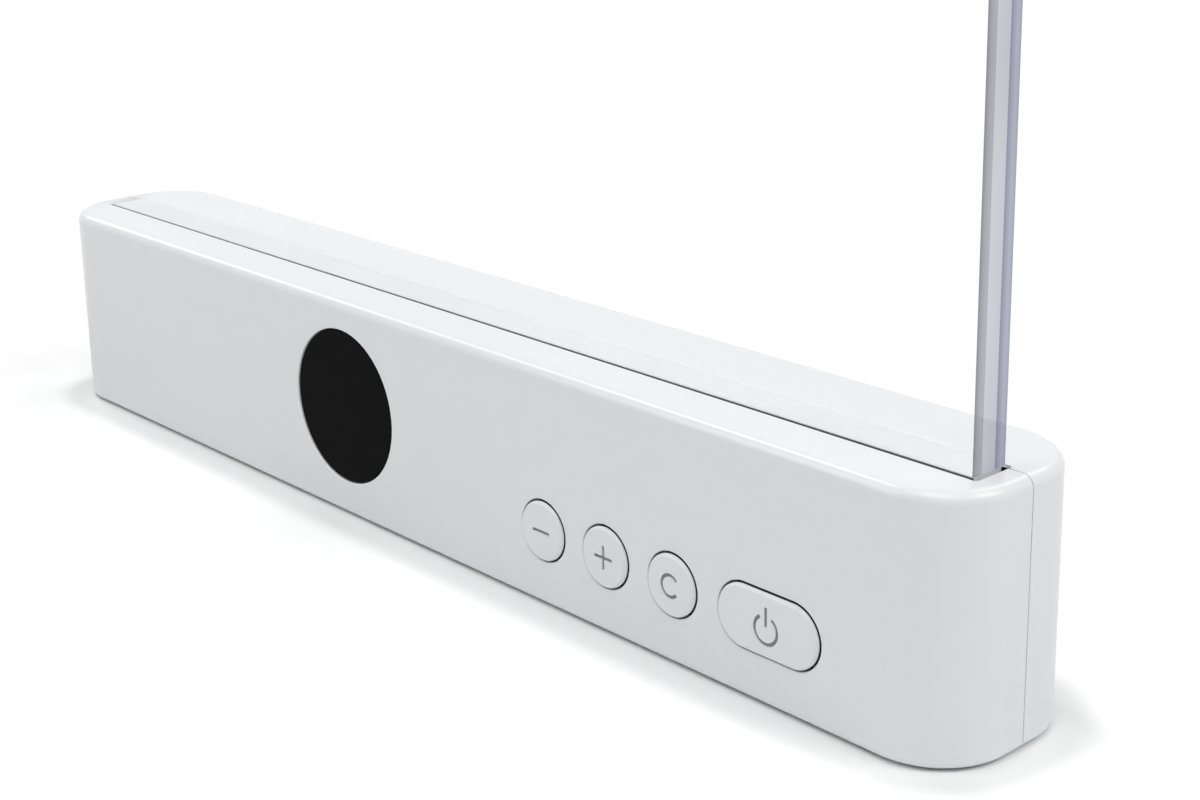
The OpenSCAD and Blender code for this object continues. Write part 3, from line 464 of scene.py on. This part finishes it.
def sunk_mark(bm, kind, x):
    """Flat faces of a key's mark, drawn on the key's front."""
    half_line, half = MARK_LINE / 2, MARK_L / 2
    centre = Vector((x, KEY_FRONT, KEY_Z))

    def plate(points):
        return [bm.faces.new([bm.verts.new(centre + Vector((px, 0, pz))) for px, pz in points])]

    def arc(radius, start, turn, drop):
        middle = centre - Vector((0, 0, drop))
        outward = Vector((math.cos(start), 0, math.sin(start)))
        verts = [bm.verts.new(middle + outward * (radius + side * half_line)) for side in (-1, 1)]
        edge = bm.edges.new(verts)
        known = set(bm.faces)
        bmesh.ops.spin(bm, geom=[*verts, edge], cent=middle, axis=(0, -1, 0), angle=turn, steps=ARC_STEPS)
        return [f for f in bm.faces if f not in known]

    if kind == "minus":
        return plate([(-half, -half_line), (half, -half_line), (half, half_line), (-half, half_line)])
    if kind == "plus":
        arm = [(half, -half_line), (half, half_line), (half_line, half_line)]
        return plate([turned(p, quarters) for quarters in range(4) for p in arm])
    if kind == "colour":
        return arc(half - half_line, COLOUR_GAP / 2, FULL_TURN - COLOUR_GAP, 0)
    stem = [(-half_line, STEM_LOW), (half_line, STEM_LOW), (half_line, STEM_HIGH), (-half_line, STEM_HIGH)]
    return arc(POWER_R, (math.pi + POWER_GAP) / 2, FULL_TURN - POWER_GAP, MARK_LINE) + plate(stem)


def key(kind, x, pull):
    """A key cap with a bevelled rim, a black skirt in its hole, a sunk mark, a retaining flange and a stem.
    The skirt is painted shade: it darkens the gap round the cap.
    """
    bm = bmesh.new()
    steps = [(KEY_CAP_R - inset, KEY_FRONT + along) for inset, along in KEY_RIM]
    steps += [(KEY_CAP_R, SHADE_SKIRT_FRONT), (KEY_CAP_R, FLANGE_FRONT)]
    steps += [(FLANGE_R, FLANGE_FRONT), (FLANGE_R, FLANGE_BACK)]
    face, back = sleeve(bm, [ring(bm, UPRIGHT, r, (x, y, KEY_Z), (pull, 0), KEY_STEPS) for r, y in steps])
    ends = [ring(bm, UPRIGHT, STEM_R, (x, y, KEY_Z), steps=STEM_STEPS) for y in (FLANGE_BACK, STEM_END)]
    stem, tip = sleeve(bm, ends)
    lid(bm, [back, stem])
    lid(bm, [tip])
    mark = sunk_mark(bm, kind, x)
    lid(bm, [face, [e for f in mark for e in f.edges if e.is_boundary]])
    sunk = bmesh.ops.extrude_face_region(bm, geom=mark)["geom"]
    bmesh.ops.translate(bm, verts=only(bmesh.types.BMVert, sunk), vec=(0, MARK_DEPTH, 0))
    bmesh.ops.delete(bm, geom=mark, context="FACES_ONLY")
    for f in only(bmesh.types.BMFace, sunk):
        f.material_index = 1
    # Painted shade: the cap's side inside its hole is black silicone, so that the gap round the key shows
    # dark
    for f in bm.faces:
        if SHADE_SKIRT_FRONT < f.calc_center_median().y < FLANGE_FRONT:
            f.material_index = 2
    name = kind + "_key"
    finished(bm, name, kind + "_button", [moulded_abs, mark_paint, silicone], [name])


def window():
    """The round window with a softened rim and the flange that it is glued by."""
    bm = bmesh.new()
    steps = [(WINDOW_R - inset, WINDOW_FRONT + along) for inset, along in rounded(WINDOW_EDGE, WINDOW_ROUND)]
    steps += [(WINDOW_R, FRONT_IN), (WINDOW_FLANGE_R, FRONT_IN), (WINDOW_FLANGE_R, WINDOW_BACK)]
    rings = [ring(bm, UPRIGHT, r, (WINDOW_X, y, WINDOW_Z), steps=WINDOW_STEPS) for r, y in steps]
    for outline in sleeve(bm, rings):
        lid(bm, [outline])
    finished(bm, "sensor_window", "base", [smoked_acrylic], ["sensor_window"])


def panel():
    """The clear sheet with round upper corners and a small chamfer, and its milky foot in the slot."""
    through = (0, PANEL_REAR - PANEL_FRONT, 0)
    sheet_low = FOOT_TOP + FOOT_GAP
    for name, low, high in (("light_panel", sheet_low, PANEL_TOP), ("panel_foot", PANEL_LOW, FOOT_TOP)):
        bm = bmesh.new()
        outline = [(-PANEL_X, low), (PANEL_X, low), (PANEL_X, high), (-PANEL_X, high)]
        prism(bm, [(x, PANEL_FRONT, z) for x, z in outline], through)
        clear = name == "light_panel"
        if clear:
            above = [e for e in bm.edges if all(v.co.z > sheet_low + CLOSE for v in e.verts)]
            corners = [e for e in above if e.verts[0].co.x == e.verts[1].co.x]
            soften(bm, corners, PANEL_CORNER_R, PANEL_CORNER_EDGE)
            face_edges = [e for e in bm.edges if e.verts[0].co.y == e.verts[1].co.y]
            rim = [e for e in face_edges if max(v.co.z for v in e.verts) > sheet_low + CLOSE]
            soften(bm, rim, PANEL_CHAMFER, 1)
            for f in bm.faces:
                f.normal_update()
                f.material_index = 0 if abs(f.normal.y) > FACING or f.normal.z < -FACING else 1
        finishes = [clear_sheet(), clear_edge()] if clear else [opal]
        finished(bm, name, "panel", finishes, ["light_panel"] if clear else [], sharp=20)


def sealing_strip():
    """The front grip strip, with a thin black lip that fills the slot before the sheet: painted shade, a dark
    sheet that draws the shaded gap before the sheet as its dark line.
    """
    bm = bmesh.new()
    low, high = (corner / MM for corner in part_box("grip_strip_front"))
    strip = [(low.y, low.z), (high.y, low.z), (high.y, high.z), (low.y, high.z)]
    prism(bm, [(low.x, y, z) for y, z in strip], (high.x - low.x, 0, 0))
    # Painted shade: a black lip up to just under the top, where only the shade of the gap lies before the
    # sheet
    shade_lip = [(high.y, high.z), (high.y, SHADE_LIP_TOP), (SHADE_LIP_FRONT, SHADE_LIP_TOP), (SHADE_LIP_FRONT, high.z)]
    prism(bm, [(-PANEL_X, y, z) for y, z in shade_lip], (2 * PANEL_X, 0, 0))
    for v in bm.verts:
        if v.co.x == -PANEL_X and v.co.y < SHADE_LIP_FRONT + CLOSE:
            v.co.y += SLOT_TAPER
    finished(bm, "grip_strip_front", "base", [silicone], ["grip_strip_front"])


whole = housing()
shell(whole, "front_shell", True)
shell(whole, "rear_shell", False)
whole.free()
for kind, (x, pull) in KEYS.items():
    key(kind, x, pull)
window()
panel()
sealing_strip()

# What stays as the solids have it, each with the finish of its material slot
FINISHES = {
    "black_silicone": silicone, "dark_anodised": anodised, "circuit_board": solder_mask,
    "white_board": white_mask, "led_phosphor": phosphor, "plated_steel": plated, "chip_black": epoxy,
    "cell_wrap": film, "nickel": nickel, "red_insulation": red_pvc, "white_insulation": white_pvc,
}
for part in frame["record"]["subparts"]:
    if part["material_slot"] in FINISHES:
        mesh = cad_nodes[part["node"]].data
        mesh.materials.clear()
        mesh.materials.append(FINISHES[part["material_slot"]])

# Camera at the photograph's angle: its focal length and its axis' height in pixels of the frame, its turns
# in radians and its place in millimetres
FOCUS, CENTRE_Y, FRAME_W, FRAME_H, SENSOR_W = 1992.343, 268.0, 1200, 800, 36.0
YAW, PITCH, ROLL = 0.83548, 0.26344, -0.01718
EYE = Vector((301.103, -236.371, 155.496)) * MM
ahead = Vector((-math.sin(YAW) * math.cos(PITCH), math.cos(YAW) * math.cos(PITCH), -math.sin(PITCH)))
right = Vector((math.cos(YAW), math.sin(YAW), 0))
up = right.cross(ahead)
right, up = math.cos(ROLL) * right + math.sin(ROLL) * up, math.cos(ROLL) * up - math.sin(ROLL) * right
camera = bpy.data.objects.new("camera", bpy.data.cameras.new("camera"))
camera.data.sensor_width = SENSOR_W
camera.data.lens = FOCUS / FRAME_W * SENSOR_W
camera.data.shift_y = -(FRAME_H / 2 - CENTRE_Y) / FRAME_W
camera.data.clip_start, camera.data.clip_end = 0.01, 50.0
camera.matrix_world = Matrix.Translation(EYE) @ Matrix((right, up, -ahead)).transposed().to_4x4()
scene.collection.objects.link(camera)
scene.camera = camera

# White studio: a pale floor, an even sky and large soft lamps
scene.view_settings.view_transform = "Standard"
SKY, FLOOR_HALF = 0.08, 4.0
# Where the floor starts to change, where it has changed, both in metres from the housing's corner axes, and
# how much: its lift beside the housing, its change to white, and its change to white as mirrors show it
# The lift beside the housing is left out within a few millimetres of it: painted shade round its foot.
CHANGES = ((0.0175, 0.024, 0.2), (0.021, 0.065, 1.0), (0.04, 0.2, 1.0))


def seen_rays(tree):
    """1 for what the camera sees, straight on, mirrored or through glass, and 0 for all other light."""
    path = add(tree, "ShaderNodeLightPath").outputs
    seen = path["Is Camera Ray"]
    for kind in ("Is Glossy Ray", "Is Transmission Ray"):
        seen = add(tree, "ShaderNodeMath", {0: seen, 1: path[kind]}, operation="MAXIMUM").outputs[0]
    return seen


world = bpy.data.worlds.new("white_studio")
world.use_nodes = True
sky = world.node_tree
sky.nodes.clear()
level = add(sky, "ShaderNodeMapRange", {"Value": seen_rays(sky), 3: SKY, 4: 1.0}).outputs[0]
backdrop = add(sky, "ShaderNodeBackground", {"Color": WHITE, "Strength": level})
sky.links.new(backdrop.outputs[0], add(sky, "ShaderNodeOutputWorld").inputs[0])
scene.world = world

paper, tree, out = blank("white_paper_floor")
plain = add(tree, "ShaderNodeBsdfDiffuse", {"Color": linear("#f6f6f6")}).outputs[0]
# The floor runs out into the white backdrop past the housing's shadow, so that no horizon shows; the white
# also paints out the wider, fainter shadows that the lamps cast further off.
place = add(tree, "ShaderNodeTexCoord").outputs["Object"]
away = add(tree, "ShaderNodeVectorMath", {0: place}, operation="ABSOLUTE").outputs[0]
past = {0: away, 1: (CORNER_X * MM, CORNER_Y * MM, 0)}
past = add(tree, "ShaderNodeVectorMath", past, operation="SUBTRACT").outputs[0]
past = add(tree, "ShaderNodeVectorMath", {0: past, 1: (0, 0, 0)}, operation="MAXIMUM").outputs[0]
reach = add(tree, "ShaderNodeVectorMath", {0: past}, operation="LENGTH").outputs["Value"]
near, far, farther = (
    add(
        tree, "ShaderNodeMapRange", {"Value": reach, 1: start, 2: end, 4: most},
        interpolation_type="SMOOTHSTEP",
    ).outputs[0]
    for start, end, most in CHANGES
)
# Painted shade: the floor's glow fades out within a few millimetres of the housing, so a band round its foot
# stays darker than the floor beyond and deepens its contact shadow
lift_fading_into_painted_shade = add(tree, "ShaderNodeEmission", {"Color": WHITE, "Strength": near}).outputs[0]
bright = add(tree, "ShaderNodeAddShader", {0: plain, 1: lift_fading_into_painted_shade}).outputs[0]
white = add(tree, "ShaderNodeEmission", {"Color": WHITE, "Strength": 1.0}).outputs[0]
lifted = add(tree, "ShaderNodeMixShader", {0: far, 1: bright, 2: white}).outputs[0]
straight = add(tree, "ShaderNodeMixShader", {0: seen_rays(tree), 1: plain, 2: lifted}).outputs[0]
# Glossy surfaces mirror the floor as it is lit, so that the housing's outline stays grey against the white
mirrored = add(tree, "ShaderNodeMixShader", {0: farther, 1: plain, 2: white}).outputs[0]
glossy = add(tree, "ShaderNodeLightPath").outputs["Is Glossy Ray"]
seen = add(tree, "ShaderNodeMixShader", {0: glossy, 1: straight, 2: mirrored}).outputs[0]
tree.links.new(seen, out.inputs[0])
bm = bmesh.new()
bmesh.ops.create_grid(bm, x_segments=1, y_segments=1, size=FLOOR_HALF)
mesh = bpy.data.meshes.new("floor")
bm.to_mesh(mesh)
bm.free()
mesh.materials.append(paper)
floor = bpy.data.objects.new("floor", mesh)
scene.collection.objects.link(floor)

# Lamps with their place and size in metres and their power in watts. All face the housing's middle.
AIM = Vector((0, 0, 0.03))
LAMPS = {
    "high_front_softbox": ((0.35, -0.5, 1.5), (0.8, 0.8), 7.5),
    "high_front_left_softbox": ((-0.8, -0.9, 1.2), (0.8, 0.8), 1.4),
    "front_left_softbox": ((-0.9, -1.3, 0.9), (0.9, 0.9), 4.9),
    "high_front_right_softbox": ((1.0, -0.6, 1.1), (0.6, 0.6), 2.6),
    "left_strip": ((-1.1, 0.0, 1.0), (0.35, 0.9), 2.8),
    "high_left_softbox": ((-0.8, 0.05, 1.25), (0.35, 0.35), 2.0),
    "high_right_softbox": ((1.1, 0.4, 1.1), (0.7, 0.7), 7.8),
    "back_strip": ((0.03, 0.95, 1.25), (0.4, 1.0), 3.2),
}
for name, (place, (wide, tall), watts) in LAMPS.items():
    lamp = bpy.data.lights.new(name, "AREA")
    lamp.shape, lamp.size, lamp.size_y, lamp.energy = "RECTANGLE", wide, tall, watts
    holder = bpy.data.objects.new(name, lamp)
    holder.location = place
    holder.rotation_mode = "QUATERNION"
    holder.rotation_quaternion = (AIM - Vector(place)).to_track_quat("-Z", "Y")
    scene.collection.objects.link(holder)
